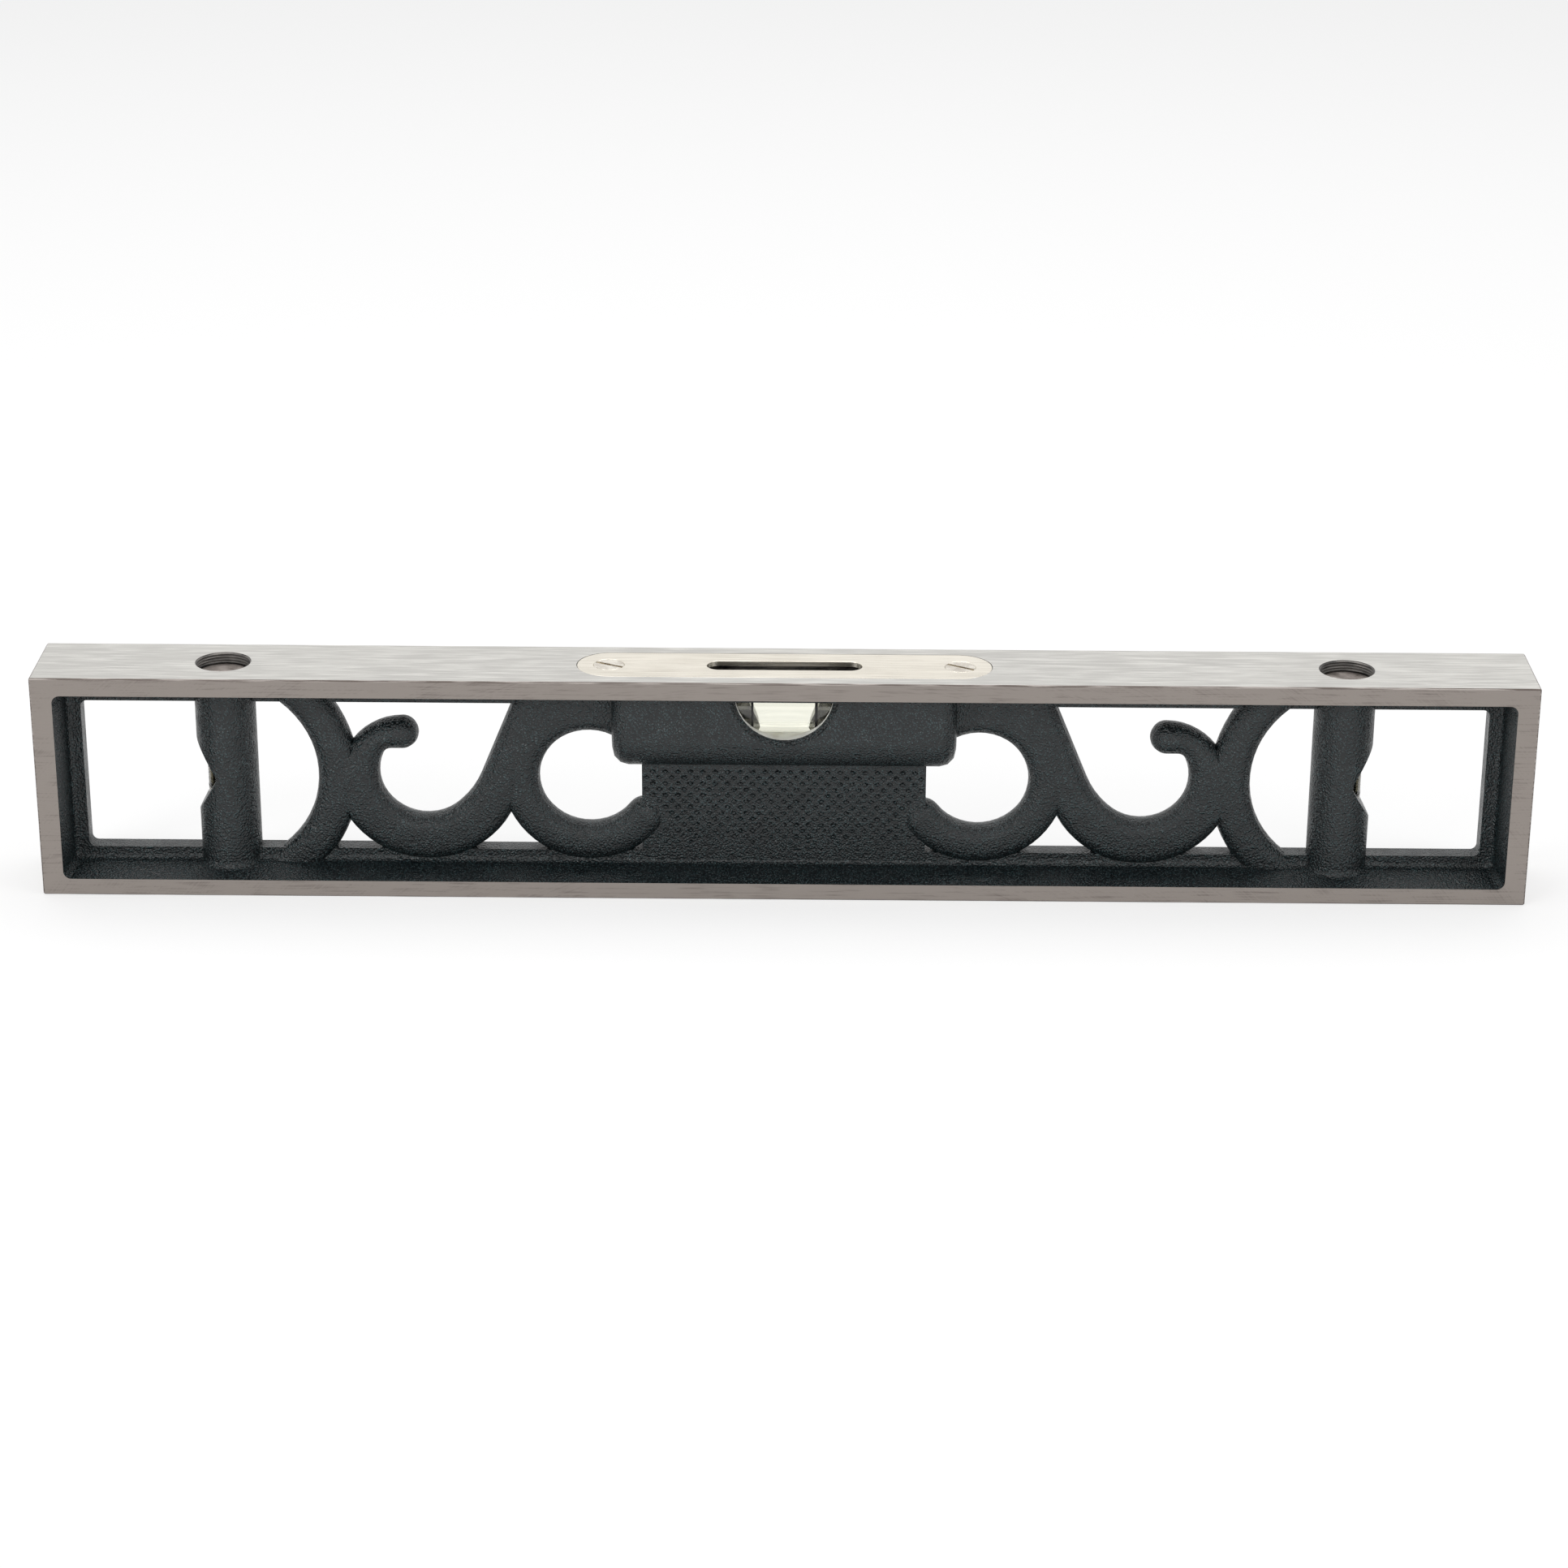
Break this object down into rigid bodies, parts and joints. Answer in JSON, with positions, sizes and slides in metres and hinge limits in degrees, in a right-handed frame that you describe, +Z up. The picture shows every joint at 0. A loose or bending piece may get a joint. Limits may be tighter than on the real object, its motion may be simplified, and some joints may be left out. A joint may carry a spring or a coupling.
{
  "type": "precision machinist level",
  "caption": "Cast openwork level with a ground rim, scrolled web, checkered grip, main vial under an inlaid slotted plate and a plumb vial in each post.",
  "frame": {"origin": "middle of the base face, where the level stands", "axes": "+X along the level from its left plumb post to its right one, +Y from the front (adjusting screw on the right) to the back, +Z up"},
  "size_m": [0.4572, 0.0318, 0.0712],
  "materials": {
    "cast_frame": "green-black wrinkle enamel, with every outer face of the rim ground bright",
    "nickel_plate": "satin nickel plate",
    "nickel_screw": "satin nickel plate",
    "machined_plug": "turned steel",
    "vial_glass": "clear glass with black reading lines",
    "vial_spirit": "yellow spirit",
    "brass_cap": "turned brass",
    "brass_screw": "turned brass",
    "spring_steel": "blued spring steel",
    "soft_pad": "matt black"
  },
  "bodies": {
    "root": {"frame_casting": "cast_frame", "top_plate": "nickel_plate", "top_plate_screw_left": "nickel_screw", "top_plate_screw_right": "nickel_screw", "main_vial_glass": "vial_glass", "main_vial_spirit": "vial_spirit", "main_vial_cap_left": "brass_cap", "main_vial_cap_right": "brass_cap", "main_vial_fixing_screw": "brass_screw", "main_vial_adjusting_screw": "brass_screw", "main_vial_adjusting_spring": "spring_steel", "plumb_vial_glass_left": "vial_glass", "plumb_vial_spirit_left": "vial_spirit", "plumb_vial_lower_pad_left": "soft_pad", "plumb_vial_upper_pad_left": "soft_pad", "plumb_plug_left": "machined_plug", "plumb_vial_glass_right": "vial_glass", "plumb_vial_spirit_right": "vial_spirit", "plumb_vial_lower_pad_right": "soft_pad", "plumb_vial_upper_pad_right": "soft_pad", "plumb_plug_right": "machined_plug"}
  },
  "joints": []
}
